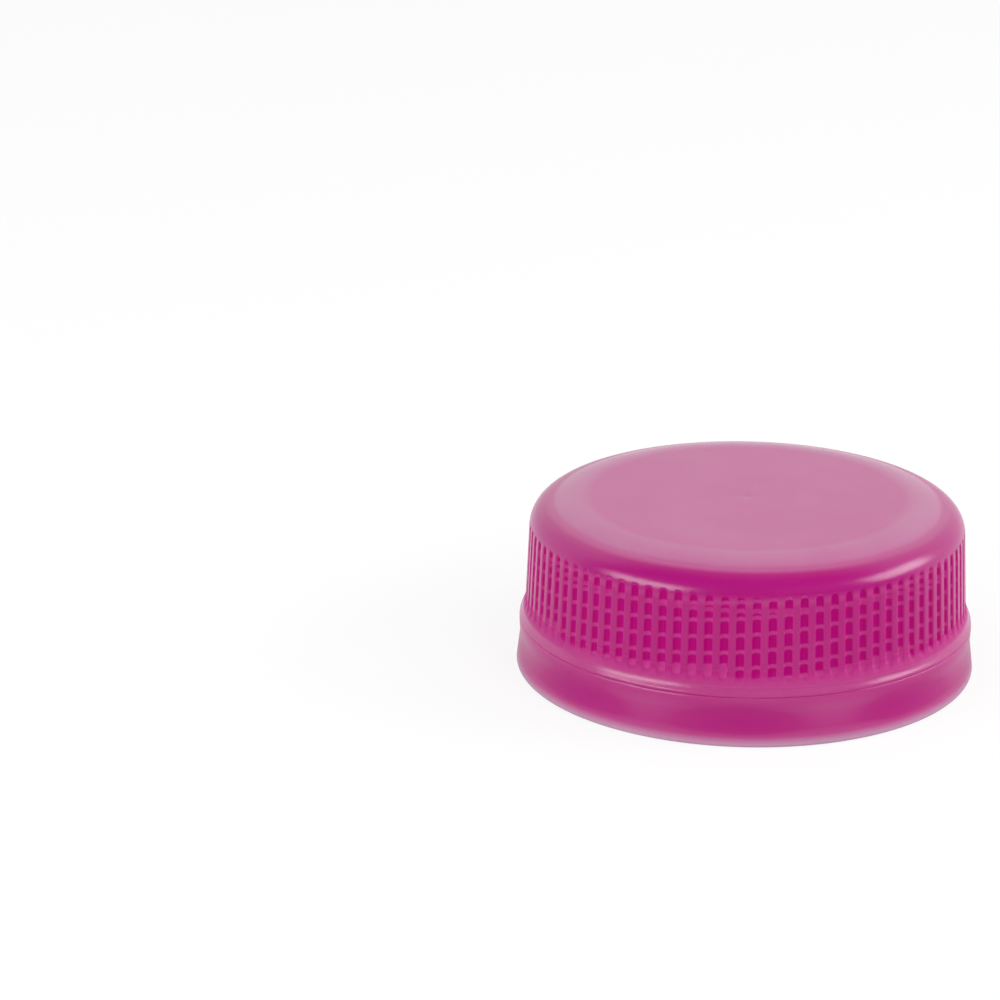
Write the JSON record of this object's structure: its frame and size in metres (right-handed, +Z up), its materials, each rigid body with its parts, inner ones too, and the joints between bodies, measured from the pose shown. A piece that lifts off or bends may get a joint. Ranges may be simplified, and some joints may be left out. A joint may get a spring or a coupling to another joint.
{
  "type": "tamper-evident screw cap",
  "caption": "Round ribbed screw cap with a rounded shoulder, inner plug seal, fine multi-start thread and a slit tamper band with a folded-in flap.",
  "frame": {"origin": "centre of the rim that the cap stands on, at the open side", "axes": "+Z up along the cap's axis, from the open side to the closed top"},
  "size_m": [0.041, 0.041, 0.0156],
  "materials": {
    "moulded_polyethylene": "glossy moulded polyethylene, magenta, slightly translucent"
  },
  "bodies": {
    "root": {"screw_cap": "moulded_polyethylene"}
  },
  "joints": []
}
